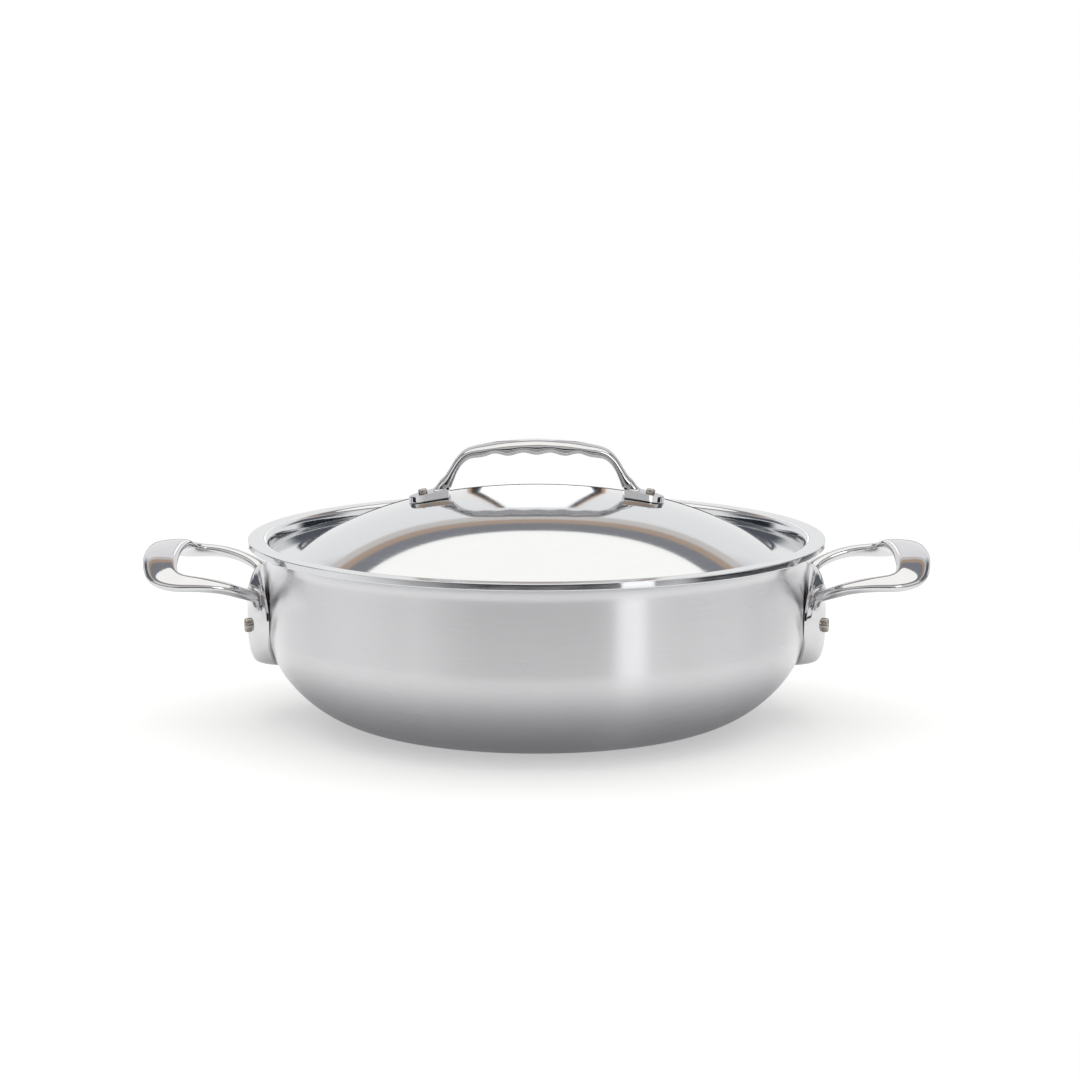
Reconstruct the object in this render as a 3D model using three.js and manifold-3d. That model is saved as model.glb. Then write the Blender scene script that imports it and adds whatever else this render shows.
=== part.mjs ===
// Stainless steel braiser: a low round pan with a pouring lip, two cast loop handles riveted to its
// wall, and a domed lid with a cast arch handle that drops inside the lip.
// Millimetres, +Z up. The origin is the centre of the flat underside, and the handles lie along X.

import * as THREE from "three";
import { mergeVertices } from "three/addons/utils/BufferGeometryUtils.js";
import Module from "manifold-3d";

const wasm = await Module();
wasm.setup();

// Pan
const PAN_HEIGHT = 95;
const WALL_RADIUS = 141; // outside of the straight wall
const LIP_OVERHANG = 9; // edge of the pouring lip beyond the wall
const LIP_LEAN = 2; // how far the wall leans out under the lip
const LIP_LEAN_HEIGHT = 6.5;
const LIP_BEND = 0.8; // radius under the lip where it turns level
const WALL = 2.7; // clad sheet
const BASE_RADIUS = 91; // flat underside
const CURVE_HEIGHT = 49; // where the lower curve runs into the straight wall
const CURVE_BASE_PULL = 21; // length of the curve's handle along the base
const CURVE_WALL_PULL = 24; // length of the curve's handle down the wall
const RIM_ROUND = 0.6; // broken corners of the lip's cut edge

// Lid
const LID_SHEET = 1.1;
const LID_REACH = 0.2; // how far the lid's edge reaches past the inside of the wall
const FLANGE_WIDTH = 14.5; // flat ring round the dome
const DOME_HEIGHT = 30.5; // above its flange
const DOME_CROWN_PULL = 50; // length of the dome's handle at its top
const DOME_EDGE_PULL = 45; // length of the dome's handle at its edge
const DOME_EDGE_ANGLE = THREE.MathUtils.degToRad(32);

// Side handles, each a shield on the wall and a loop that leaves its shoulders
const SHIELD_HEIGHT = 51.2;
const SHIELD_WIDTH = 68;
const SHIELD_DEPTH = 10; // bulge from the straight wall at its middle
const SHIELD_EDGE = 1.3; // thickness along its rim
const SHIELD_DROP = 42; // its middle below the rim
const SHIELD_OUTLINE_POWER = 2.6; // 2 is an ellipse, more is squarer
const SHIELD_BULGE_POWER = 4;
const SHIELD_ACROSS_POWER = 2.5;
const LEAN_RISE = 7; // above its middle, where the shield's back starts to leave the wall
const LEAN_SLOPE = 0.17;
const LOOP_LENGTH = 63; // tip of the loop from the wall's outer face
const GRIP_RISE = 33.8; // middle of the grip above the shield's middle
const GRIP_WIDTH = 18.8;
const GRIP_THICKNESS = 6.4;
const LOOP_WIDTH = 106; // between the arms' middles at their widest
const ARM_WIDTH = 9.6;
const ARM_THICKNESS = 5;
const ARM_ROLL = THREE.MathUtils.degToRad(24); // most that the arms' tops turn outwards
const ROOT_OFFSET = 1; // arm's root from the wall's outer face
const ROOT_RISE = 14; // arm's root above the shield's middle

// Handle rivets
const RIVET_DROP = 2; // below the shield's middle
const RIVET_SPACING = 38;
const RIVET_SHANK_RADIUS = 3.2;
const RIVET_TAIL_RADIUS = 3.7;
const RIVET_TAIL_REACH = 11.6; // end of the tail from the wall's outer face
const RIVET_SEAT = 4.4; // spot face in the shield from the wall's outer face
const RIVET_HEAD_RADIUS = 5.4;
const RIVET_HEAD_HEIGHT = 1.8;

// Lid handle, an arch with a foot at each end
const ARCH_LENGTH = 132.6;
const ARCH_HEIGHT = 59.2; // top of the grip above the lid's seat
const ARCH_GRIP_WIDTH = 17;
const ARCH_GRIP_THICKNESS = 7;
const ARCH_LEG_WIDTH = 12;
const ARCH_LEG_THICKNESS = 4.2;
const ARCH_BASE_WIDTH = 15; // where a leg runs into its foot
const ARCH_BASE_THICKNESS = 9.4;
const ARCH_FOOT_WIDTH = 19;
const ARCH_FOOT_LENGTH = 21;
const ARCH_FOOT_THICKNESS = 3.6; // at its rivet
const ARCH_FOOT_TAPER = 0.06; // gain in thickness for each millimetre towards the heel
const ARCH_FOOT_TIP = 6.6; // flat end of its round tip
const SCALLOP_SPACING = 14.7; // finger hollows under the grip
const SCALLOP_DEPTH = 2.3;
const SCALLOP_COUNT = 4;

// Lid rivets
const LID_RIVET_FROM_END = 7.8; // middle of the rivet from the tip of the foot
const LID_RIVET_SHANK_RADIUS = 1.9;
const LID_RIVET_TAIL_RADIUS = 2.3;
const LID_RIVET_TAIL_HEIGHT = 2.2;
const LID_RIVET_HEAD_RADIUS = 4.4;
const LID_RIVET_HEAD_HEIGHT = 1.2;

// Fits and facets
const CLEARANCE = 0.3; // between pieces that touch
const SEAT_GAP = 0.12; // under the lid's edge
const ROUND_SEGMENTS = 60;
const RIVET_SEGMENTS = 12;
const CURVE_STEPS = 8;
const LIP_STEPS = 4;
const DOME_STEPS = 10;
const SHIELD_ROWS = 14;
const SHIELD_COLUMNS = 10;
const LOOP_STEPS = 42;
const ARCH_STEPS = 60;
const FOOT_STEPS = 8;
const SECTION_POINTS = 12;

const wallInside = WALL_RADIUS - WALL;
const rimRadius = WALL_RADIUS + LIP_OVERHANG;
const lipUnder = PAN_HEIGHT - WALL;
const lipStart = lipUnder - LIP_BEND - LIP_LEAN_HEIGHT; // where the wall starts to lean out
const shieldCentre = PAN_HEIGHT - SHIELD_DROP;
const rivetHeight = shieldCentre - RIVET_DROP;
const leanStart = shieldCentre + LEAN_RISE;
const loopTip = WALL_RADIUS + LOOP_LENGTH;

const steel = (name, color, roughness) =>
  new THREE.MeshStandardMaterial({ name, color, roughness, metalness: 1 });
const satinSteel = steel("satin_steel", 0xbfc0c2, 0.32);
const polishedSteel = steel("polished_steel", 0xd0d1d3, 0.12);
const castSteel = steel("cast_steel", 0xc6c6c8, 0.16);
const rivetSteel = steel("rivet_steel", 0xa9a7a2, 0.3);

const v2 = (x, y) => new THREE.Vector2(x, y);
const v3 = (x, y, z) => new THREE.Vector3(x, y, z);
const { lerp, smoothstep } = THREE.MathUtils;

// A closed geometry as a solid, with its faces pointing out
function solidOf(geometry) {
  const bare = geometry.clone();
  bare.deleteAttribute("normal");
  bare.deleteAttribute("uv");
  const merged = mergeVertices(bare, 1e-4);
  const points = merged.attributes.position.array;
  const corner = (i) => new THREE.Vector3().fromArray(points, 3 * i);
  const triangles = [];
  let volume = 0;
  for (let i = 0; i < merged.index.count; i += 3) {
    const [a, b, c] = merged.index.array.slice(i, i + 3);
    if (a !== b && b !== c && c !== a) {
      triangles.push([a, b, c]);
      volume += corner(a).dot(corner(b).cross(corner(c)));
    }
  }
  const outward = volume > 0 ? triangles : triangles.map(([a, b, c]) => [a, c, b]);
  return new wasm.Manifold(new wasm.Mesh({
    numProp: 3,
    vertProperties: new Float32Array(points),
    triVerts: new Uint32Array(outward.flat()),
  }));
}

// A solid as a named mesh
function meshOf(solid, name, material) {
  const { vertProperties, triVerts } = solid.getMesh();
  const geometry = new THREE.BufferGeometry();
  geometry.setAttribute("position", new THREE.BufferAttribute(vertProperties, 3));
  geometry.setIndex(new THREE.BufferAttribute(triVerts, 1));
  geometry.computeVertexNormals();
  const mesh = new THREE.Mesh(geometry, material);
  mesh.name = name;
  return mesh;
}

// A profile of radius and height turned about Z
function turned(profile, segments = ROUND_SEGMENTS) {
  return new THREE.LatheGeometry(profile, segments).rotateX(Math.PI / 2);
}

// A profile of radius and distance turned about X
function turnedAlongX(profile) {
  return new THREE.LatheGeometry(profile, RIVET_SEGMENTS).rotateZ(-Math.PI / 2);
}

// The same line moved to its left by a distance; a point on the axis stays on it
function offsetLine(line, distance) {
  const lefts = line.slice(1).map((to, i) => v2(line[i].y - to.y, to.x - line[i].x).normalize());
  return line.map((point, i) => {
    if (point.x === 0) {
      return v2(0, point.y + distance);
    }
    const before = lefts[Math.max(i - 1, 0)];
    const after = lefts[Math.min(i, lefts.length - 1)];
    const middle = before.clone().add(after).normalize();
    return point.clone().addScaledVector(middle, distance / middle.dot(before));
  });
}

// Rings of points joined in order, with both ends closed
function loft(rings) {
  const size = rings[0].length;
  const middle = (ring) => ring.reduce((sum, p) => sum.add(p), v3(0, 0, 0)).divideScalar(size);
  const points = [...rings.flat(), middle(rings[0]), middle(rings.at(-1))];
  const firstEnd = points.length - 2;
  const lastEnd = points.length - 1;
  const lastRing = (rings.length - 1) * size;
  const index = [];
  for (let k = 0; k < size; k += 1) {
    const next = (k + 1) % size;
    for (let row = 0; row < lastRing; row += size) {
      index.push(row + k, row + next, row + size + next);
      index.push(row + k, row + size + next, row + size + k);
    }
    index.push(firstEnd, next, k);
    index.push(lastEnd, lastRing + k, lastRing + next);
  }
  const geometry = new THREE.BufferGeometry().setFromPoints(points);
  geometry.setIndex(index);
  return geometry;
}

// A section across a path by width and through it by depth; a power of 1 is an ellipse, less is squarer
const BAR_POWER = 0.85;
const FOOT_POWER = 0.4;
function sectionRing(centre, across, through, halfWidth, halfDepth, power) {
  const soften = (value) => Math.sign(value) * Math.abs(value) ** power;
  return Array.from({ length: SECTION_POINTS }, (_, k) => {
    const turn = (2 * Math.PI * (k + 0.5)) / SECTION_POINTS;
    return centre.clone()
      .addScaledVector(across, halfWidth * soften(Math.cos(turn)))
      .addScaledVector(through, halfDepth * soften(Math.sin(turn)));
  });
}

// Pan: one clad sheet, drawn to a round-bottomed wall that leans out at its top and turns into a level lip
const panCurve = new THREE.CubicBezierCurve(
  v2(BASE_RADIUS, 0),
  v2(BASE_RADIUS + CURVE_BASE_PULL, 0),
  v2(WALL_RADIUS, CURVE_HEIGHT - CURVE_WALL_PULL),
  v2(WALL_RADIUS, CURVE_HEIGHT),
);
const lipTurn = new THREE.EllipseCurve(
  WALL_RADIUS + LIP_LEAN + LIP_BEND, lipUnder - LIP_BEND, LIP_BEND, LIP_BEND, Math.PI, Math.PI / 2, true,
);
const panOutside = [
  v2(0, 0),
  ...panCurve.getPoints(CURVE_STEPS),
  v2(WALL_RADIUS, lipStart),
  ...lipTurn.getPoints(LIP_STEPS),
  v2(rimRadius - RIM_ROUND, lipUnder),
];

function wallRadiusAt(height) {
  const above = panOutside.findIndex((point) => point.y > height);
  const [low, high] = [panOutside[above - 1], panOutside[above]];
  return lerp(low.x, high.x, (height - low.y) / (high.y - low.y));
}

function makePan() {
  const rimEdge = [
    v2(rimRadius, lipUnder + RIM_ROUND),
    v2(rimRadius, PAN_HEIGHT - RIM_ROUND),
  ];
  const inside = offsetLine(panOutside, WALL).reverse();
  let pan = solidOf(turned([...panOutside, ...rimEdge, ...inside]));
  for (const side of [0, Math.PI]) {
    for (const hole of rivetCuts(RIVET_SHANK_RADIUS, 0)) {
      pan = pan.subtract(solidOf(hole.rotateZ(side)));
    }
  }
  return meshOf(pan, "pan_vessel", satinSteel);
}

// Handle rivets: an angle to each side of the handle's middle, square to the wall
const rivetAngle = Math.asin(RIVET_SPACING / 2 / WALL_RADIUS);
const rivetAngles = { front: -rivetAngle, back: rivetAngle };

// Round cuts at a handle's two rivets, on the +X side, from a given distance off the wall outwards
function rivetCuts(radius, start) {
  const from = start > 0 ? WALL_RADIUS + start : wallInside - RIVET_HEAD_RADIUS;
  const to = loopTip;
  const profile = [v2(0, from), v2(radius + CLEARANCE, from), v2(radius + CLEARANCE, to), v2(0, to)];
  return Object.values(rivetAngles).map((angle) =>
    turnedAlongX(profile).translate(0, 0, rivetHeight).applyMatrix4(
      new THREE.Matrix4().makeRotationZ(angle),
    ));
}

function rivetProfile({ headFace, headHeight, headRadius, shank, tailStart, tailEnd, tail }) {
  const round = tail * 0.35;
  return [
    v2(0, headFace - headHeight),
    v2(headRadius * 0.55, headFace - headHeight * 0.9),
    v2(headRadius, headFace - headHeight * 0.35),
    v2(headRadius, headFace),
    v2(shank, headFace),
    v2(shank, tailStart),
    v2(tail, tailStart),
    v2(tail, tailEnd - round),
    v2(tail - round * 0.3, tailEnd - round * 0.3),
    v2(tail - round, tailEnd),
    v2(0, tailEnd),
  ];
}

// The flat head clears the wall where its edge meets the start of the lower curve
function rivetHeadFace() {
  const lowEdge = wallRadiusAt(rivetHeight - RIVET_HEAD_RADIUS) - WALL;
  const facet = lowEdge * Math.cos(Math.PI / ROUND_SEGMENTS);
  return Math.sqrt(facet ** 2 - RIVET_HEAD_RADIUS ** 2) - CLEARANCE;
}

function makeHandleRivet(name, angle) {
  const profile = rivetProfile({
    headFace: rivetHeadFace(),
    headHeight: RIVET_HEAD_HEIGHT,
    headRadius: RIVET_HEAD_RADIUS,
    shank: RIVET_SHANK_RADIUS,
    tailStart: WALL_RADIUS + RIVET_SEAT + CLEARANCE,
    tailEnd: WALL_RADIUS + RIVET_TAIL_REACH,
    tail: RIVET_TAIL_RADIUS,
  });
  const mesh = meshOf(solidOf(turnedAlongX(profile)), name, rivetSteel);
  mesh.position.z = rivetHeight;
  mesh.rotation.z = angle;
  return mesh;
}

// Side handle, on the +X side
function shieldGeometry() {
  const backDepth = SHIELD_DEPTH; // the loft starts this far inside the wall and is then cut to it
  const rings = [];
  for (let row = 1; row < SHIELD_ROWS; row += 1) {
    const up = -Math.cos((Math.PI * row) / SHIELD_ROWS);
    const height = shieldCentre + (up * SHIELD_HEIGHT) / 2;
    const dome = (power) => (1 - Math.abs(up) ** power) ** (1 / power);
    const halfWidth = (SHIELD_WIDTH / 2) * dome(SHIELD_OUTLINE_POWER);
    const wall = wallRadiusAt(height);
    const front = WALL_RADIUS + SHIELD_DEPTH * dome(SHIELD_BULGE_POWER);
    const edge = Math.sqrt(wall ** 2 - halfWidth ** 2) + SHIELD_EDGE;
    const ring = [v3(edge - backDepth, halfWidth, height), v3(edge - backDepth, -halfWidth, height)];
    for (let k = 0; k <= SHIELD_COLUMNS; k += 1) {
      const across = (2 * k) / SHIELD_COLUMNS - 1;
      const fall = Math.abs(across) ** SHIELD_ACROSS_POWER;
      ring.push(v3(lerp(front, edge, fall), across * halfWidth, height));
    }
    rings.push(ring);
  }
  return loft(rings);
}

// The loop's route from the shield's shoulder to the middle of the grip. Each row is a share of the
// way out, of half the loop's width and of the way up.
const LOOP_SHAPE = [
  [-0.1, 0.49, -0.26],
  [0, 0.62, 0],
  [0.14, 0.83, 0.24],
  [0.33, 0.93, 0.44],
  [0.55, 0.995, 0.55],
  [0.78, 0.965, 0.59],
  [0.93, 0.8, 0.71],
  [0.985, 0.45, 0.94],
  [1, 0, 1],
];

// Shares of the way from a root to the middle of the grip, where the section and the roll change
const ARM_TO_GRIP = [0.4, 0.9];
const ROLL_IN = [0, 0.5];
const ROLL_OUT = [0.55, 0.95];

function loopGeometry() {
  const rootX = WALL_RADIUS + ROOT_OFFSET;
  const gripX = loopTip - GRIP_WIDTH / 2;
  const half = LOOP_SHAPE.map(([out, side, up]) =>
    v3(lerp(rootX, gripX, out), (side * LOOP_WIDTH) / 2, shieldCentre + lerp(ROOT_RISE, GRIP_RISE, up)));
  const mirrored = half.slice(0, -1).reverse().map((p) => v3(p.x, -p.y, p.z));
  const route = new THREE.CatmullRomCurve3([...half, ...mirrored], false, "centripetal");
  const rings = [];
  for (let step = 0; step <= LOOP_STEPS; step += 1) {
    const share = step / LOOP_STEPS;
    const toMiddle = 1 - Math.abs(2 * share - 1);
    const grip = smoothstep(toMiddle, ...ARM_TO_GRIP);
    const roll = ARM_ROLL * smoothstep(toMiddle, ...ROLL_IN) * (1 - smoothstep(toMiddle, ...ROLL_OUT));
    const along = route.getTangentAt(share);
    const across = v3(0, 0, 1).cross(along).normalize().applyAxisAngle(along, -roll);
    const through = along.clone().cross(across);
    const halfWidth = lerp(ARM_WIDTH, GRIP_WIDTH, grip) / 2;
    const halfDepth = lerp(ARM_THICKNESS, GRIP_THICKNESS, grip) / 2;
    const centre = route.getPointAt(share);
    rings.push(sectionRing(centre, across, through, halfWidth, halfDepth, BAR_POWER));
  }
  return loft(rings);
}

// What the handle's back has to clear: the wall, and above it the slope that its top leans away by
function handleBack() {
  const wall = offsetLine(panOutside, -CLEARANCE).filter((p) => p.y < leanStart && p.x > 1);
  const foot = WALL_RADIUS + CLEARANCE;
  const lean = (PAN_HEIGHT - leanStart) * LEAN_SLOPE;
  return solidOf(turned([
    v2(0, -CLEARANCE),
    ...wall,
    v2(foot, leanStart),
    v2(foot + lean, PAN_HEIGHT),
    v2(0, PAN_HEIGHT),
  ]));
}

function makeHandle(name) {
  let handle = solidOf(shieldGeometry()).add(solidOf(loopGeometry())).subtract(handleBack());
  const cuts = [...rivetCuts(RIVET_SHANK_RADIUS, 0), ...rivetCuts(RIVET_TAIL_RADIUS, RIVET_SEAT)];
  for (const cut of cuts) {
    handle = handle.subtract(solidOf(cut));
  }
  return meshOf(handle, name, castSteel);
}

// Lid: one sheet, a dome with a flat flange whose edge rests where the wall starts to lean out
const lidRadius = wallInside + LID_REACH;
const lipSlope = v2(LIP_LEAN, LIP_LEAN_HEIGHT).normalize();
const lidSeat = lipStart + (WALL + SEAT_GAP - (WALL_RADIUS - lidRadius) * lipSlope.y) / lipSlope.x;
const flangeTop = lidSeat + LID_SHEET;
const lidTop = flangeTop + DOME_HEIGHT;
const domeRadius = lidRadius - FLANGE_WIDTH;
const domeCurve = new THREE.CubicBezierCurve(
  v2(0, lidTop),
  v2(DOME_CROWN_PULL, lidTop),
  v2(
    domeRadius - DOME_EDGE_PULL * Math.cos(DOME_EDGE_ANGLE),
    flangeTop + DOME_EDGE_PULL * Math.sin(DOME_EDGE_ANGLE),
  ),
  v2(domeRadius, flangeTop),
);
const lidOutside = [...domeCurve.getPoints(DOME_STEPS), v2(lidRadius, flangeTop)];

// Height and slope of the dome's outside at a radius
function domeAt(radius) {
  const after = lidOutside.findIndex((point) => point.x > radius);
  const [inner, outer] = [lidOutside[after - 1], lidOutside[after]];
  const slope = (outer.y - inner.y) / (outer.x - inner.x);
  return { height: inner.y + (radius - inner.x) * slope, slope };
}

const archTip = ARCH_LENGTH / 2;
const archHeel = archTip - ARCH_FOOT_LENGTH;
const legBase = archHeel + ARCH_BASE_THICKNESS / 2;
const lidRivetX = archTip - LID_RIVET_FROM_END;
const lidRivetSeat = ARCH_FOOT_THICKNESS - ARCH_FOOT_TAPER * LID_RIVET_TAIL_RADIUS;

// A profile along the dome's normal at a rivet, placed on the +X side; 0 is the dome's outside
function onDome(profile) {
  const { height, slope } = domeAt(lidRivetX);
  return turned(profile, RIVET_SEGMENTS).rotateY(-Math.atan(slope)).translate(lidRivetX, 0, height);
}

function bothSides(solid) {
  return [solid, solid.rotate([0, 0, 180])];
}

// Round cuts at the two lid rivets, from a given height over the dome's outside up
function lidRivetCuts(radius, from) {
  const wide = radius + CLEARANCE;
  const to = ARCH_FOOT_THICKNESS + LID_RIVET_TAIL_HEIGHT;
  return bothSides(solidOf(onDome([v2(0, from), v2(wide, from), v2(wide, to), v2(0, to)])));
}

const underLid = -LID_SHEET - LID_RIVET_HEAD_HEIGHT;

function makeLidShell() {
  const inside = offsetLine(lidOutside, -LID_SHEET);
  let lid = solidOf(turned([...inside, ...lidOutside.toReversed()]));
  for (const cut of lidRivetCuts(LID_RIVET_SHANK_RADIUS, underLid)) {
    lid = lid.subtract(cut);
  }
  return meshOf(lid, "lid_shell", polishedSteel);
}

// The arch's route from the middle of the grip down to the base of a leg. Each row is a share of the
// way out to the base and of the way up from it.
const ARCH_SHAPE = [
  [0, 1],
  [0.3, 0.99],
  [0.52, 0.955],
  [0.7, 0.865],
  [0.805, 0.715],
  [0.868, 0.525],
  [0.927, 0.295],
  [1, 0],
];

// Shares of the way out where the arch's section changes
const GRIP_TO_LEG = [0.47, 0.83];
const LEG_TO_BASE = [0.9, 1];

function archRoute() {
  const base = domeAt(legBase).height;
  const gripMiddle = lidSeat + ARCH_HEIGHT - ARCH_GRIP_THICKNESS / 2;
  const half = ARCH_SHAPE.map(([out, up]) => v3(out * legBase, 0, lerp(base, gripMiddle, up)));
  const mirrored = half.slice(1).reverse().map((p) => v3(-p.x, 0, p.z));
  return new THREE.CatmullRomCurve3([...mirrored, ...half], false, "centripetal");
}

// Half the arch's width and thickness at a distance from its middle
function archSection(x) {
  const leg = smoothstep(x / legBase, ...GRIP_TO_LEG);
  const base = smoothstep(x / legBase, ...LEG_TO_BASE);
  const width = lerp(lerp(ARCH_GRIP_WIDTH, ARCH_LEG_WIDTH, leg), ARCH_BASE_WIDTH, base);
  const thickness = lerp(lerp(ARCH_GRIP_THICKNESS, ARCH_LEG_THICKNESS, leg), ARCH_BASE_THICKNESS, base);
  return [width / 2, thickness / 2];
}

// Rise of the grip's underside in the finger hollows
function fingerHollow(x) {
  const inHollows = x < (SCALLOP_COUNT * SCALLOP_SPACING) / 2;
  return inHollows ? (SCALLOP_DEPTH / 2) * (1 - Math.cos((2 * Math.PI * x) / SCALLOP_SPACING)) : 0;
}

function archGeometry() {
  const route = archRoute();
  const across = v3(0, 1, 0);
  const rings = [];
  for (let step = 0; step <= ARCH_STEPS; step += 1) {
    const centre = route.getPointAt(step / ARCH_STEPS);
    const through = route.getTangentAt(step / ARCH_STEPS).cross(across);
    const fromMiddle = Math.abs(centre.x);
    const ring = sectionRing(centre, across, through, ...archSection(fromMiddle), BAR_POWER);
    const rise = fingerHollow(fromMiddle);
    for (const point of ring) {
      point.z += point.z < centre.z ? rise : 0;
    }
    rings.push(ring);
  }
  return loft(rings);
}

// A wedge that lies along the dome, with a round tip; it starts under the dome's outside and is cut to it
function footGeometry() {
  const rings = [];
  for (let step = 0; step <= FOOT_STEPS; step += 1) {
    const x = lerp(archHeel, archTip, Math.sin((Math.PI / 2) * (step / FOOT_STEPS)));
    const dome = domeAt(x).height;
    const top = dome + ARCH_FOOT_THICKNESS + (lidRivetX - x) * ARCH_FOOT_TAPER;
    const bottom = dome - LID_SHEET;
    const pastRound = Math.max(0, 1 - (archTip - x) / (ARCH_FOOT_WIDTH / 2));
    const width = Math.max(ARCH_FOOT_TIP, ARCH_FOOT_WIDTH * Math.sqrt(1 - pastRound ** 2));
    const centre = v3(x, 0, (top + bottom) / 2);
    rings.push(sectionRing(centre, v3(0, 1, 0), v3(0, 0, 1), width / 2, (top - bottom) / 2, FOOT_POWER));
  }
  return loft(rings);
}

function makeLidHandle() {
  let handle = solidOf(archGeometry());
  for (const foot of bothSides(solidOf(footGeometry()))) {
    handle = handle.add(foot);
  }
  const domeSpace = [v2(0, 0), v2(lidRadius, 0), ...offsetLine(lidOutside, CLEARANCE).toReversed()];
  const cuts = [
    solidOf(turned(domeSpace)),
    ...lidRivetCuts(LID_RIVET_SHANK_RADIUS, underLid),
    ...lidRivetCuts(LID_RIVET_TAIL_RADIUS, lidRivetSeat),
  ];
  for (const cut of cuts) {
    handle = handle.subtract(cut);
  }
  return meshOf(handle, "lid_handle", castSteel);
}

function makeLidRivet(name, side) {
  const profile = rivetProfile({
    headFace: -LID_SHEET - CLEARANCE,
    headHeight: LID_RIVET_HEAD_HEIGHT,
    headRadius: LID_RIVET_HEAD_RADIUS,
    shank: LID_RIVET_SHANK_RADIUS,
    tailStart: lidRivetSeat + CLEARANCE,
    tailEnd: ARCH_FOOT_THICKNESS + LID_RIVET_TAIL_HEIGHT,
    tail: LID_RIVET_TAIL_RADIUS,
  });
  const mesh = meshOf(solidOf(onDome(profile)), name, rivetSteel);
  mesh.rotation.z = side;
  return mesh;
}

const braiser = new THREE.Group();
braiser.add(makePan());
for (const [side, turn] of [["right", 0], ["left", Math.PI]]) {
  const handleGroup = new THREE.Group();
  handleGroup.rotation.z = turn;
  handleGroup.add(makeHandle(`${side}_handle`));
  for (const [place, angle] of Object.entries(rivetAngles)) {
    handleGroup.add(makeHandleRivet(`${side}_handle_rivet_${place}`, angle));
  }
  braiser.add(handleGroup);
}
const lid = new THREE.Group();
lid.add(makeLidShell(), makeLidHandle());
lid.add(makeLidRivet("lid_rivet_right", 0), makeLidRivet("lid_rivet_left", Math.PI));
braiser.add(lid);

export default braiser;
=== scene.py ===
import math

import bmesh
import bpy
from mathutils import Matrix, Vector
from mathutils.geometry import interpolate_bezier


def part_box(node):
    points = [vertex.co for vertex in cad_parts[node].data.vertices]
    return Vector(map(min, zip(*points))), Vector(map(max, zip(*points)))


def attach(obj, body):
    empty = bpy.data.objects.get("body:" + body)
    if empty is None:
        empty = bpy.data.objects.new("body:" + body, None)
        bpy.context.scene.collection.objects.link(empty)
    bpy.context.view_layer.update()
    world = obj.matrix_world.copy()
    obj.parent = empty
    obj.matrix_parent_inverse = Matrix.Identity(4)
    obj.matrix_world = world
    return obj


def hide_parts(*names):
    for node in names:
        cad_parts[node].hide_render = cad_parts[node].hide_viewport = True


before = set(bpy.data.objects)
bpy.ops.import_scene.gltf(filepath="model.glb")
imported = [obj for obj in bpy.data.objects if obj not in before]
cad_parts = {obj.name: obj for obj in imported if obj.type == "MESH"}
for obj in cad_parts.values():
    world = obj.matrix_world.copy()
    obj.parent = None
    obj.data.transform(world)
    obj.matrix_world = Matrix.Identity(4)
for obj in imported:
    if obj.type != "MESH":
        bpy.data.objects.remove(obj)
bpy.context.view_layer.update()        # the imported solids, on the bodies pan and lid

mm = 0.001  # pieces are modelled in millimetres and finished in metres


# The camera stands a little above the rim, level with the handles
camera = {
    "distance": 1.6,  # metres from the middle of the rim
    "elevation": 8.972,
    "target": (0, 0, 0.095),
    "lens": 102.22,
    "shift": (0.0031, -0.0047),
}


def placeCamera():
    data = bpy.data.cameras.new("camera")
    data.lens = camera["lens"]
    data.sensor_width = 36
    data.shift_x, data.shift_y = camera["shift"]
    eye = bpy.data.objects.new("camera", data)
    bpy.context.scene.collection.objects.link(eye)
    tilt = math.radians(camera["elevation"])
    back = Vector((0, -math.cos(tilt), math.sin(tilt)))
    eye.location = Vector(camera["target"]) + back * camera["distance"]
    eye.rotation_euler = (-back).to_track_quat("-Z", "Y").to_euler()
    bpy.context.scene.camera = eye
    print("camera placed")


# Shared tools
def sizeOf(node):
    low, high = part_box(node)
    return low / mm, high / mm


def blend(value, start, end):  # eases from 0 to 1 between start and end
    share = min(1, max(0, (value - start) / (end - start)))
    return share * share * (3 - 2 * share)


def mix(a, b, share):
    return a + (b - a) * share


def bezierLine(corners, steps):  # a profile of radius and height from a curve's four points
    knots = [Vector(corner) for corner in corners]
    return [tuple(point) for point in interpolate_bezier(*knots, steps + 1)]


def arcLine(centre, radius, start, end, steps):
    angles = [math.radians(mix(start, end, step / steps)) for step in range(steps + 1)]
    return [(centre[0] + radius * math.cos(a), centre[1] + radius * math.sin(a)) for a in angles]


def offsetLine(line, distance):  # moved to its left; a point on the axis stays on it
    moved = []
    for i, point in enumerate(line):
        before = Vector(line[max(i - 1, 0)])
        after = Vector(line[min(i + 1, len(line) - 1)])
        along = (after - before).normalized() if point[0] > 0 else Vector((1, 0))
        moved.append((point[0] - along.y * distance, point[1] + along.x * distance))
    return moved


def heightOn(line, radius):  # height of a profile at a radius
    pairs = zip(line, line[1:])
    inner, outer = next(pair for pair in pairs if pair[0][0] <= radius <= pair[1][0])
    return mix(inner[1], outer[1], (radius - inner[0]) / (outer[0] - inner[0]))


def spunProfile(line, segments):
    bm = bmesh.new()
    verts = [bm.verts.new((radius, 0, height)) for radius, height in line]
    edges = [bm.edges.new(pair) for pair in zip(verts, verts[1:])]
    bmesh.ops.spin(bm, geom=verts + edges, cent=(0, 0, 0), axis=(0, 0, 1), dvec=(0, 0, 0),
                   angle=2 * math.pi, steps=segments, use_merge=True)
    bmesh.ops.remove_doubles(bm, verts=bm.verts, dist=1e-4)
    bmesh.ops.recalc_face_normals(bm, faces=bm.faces)
    return bm


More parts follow.
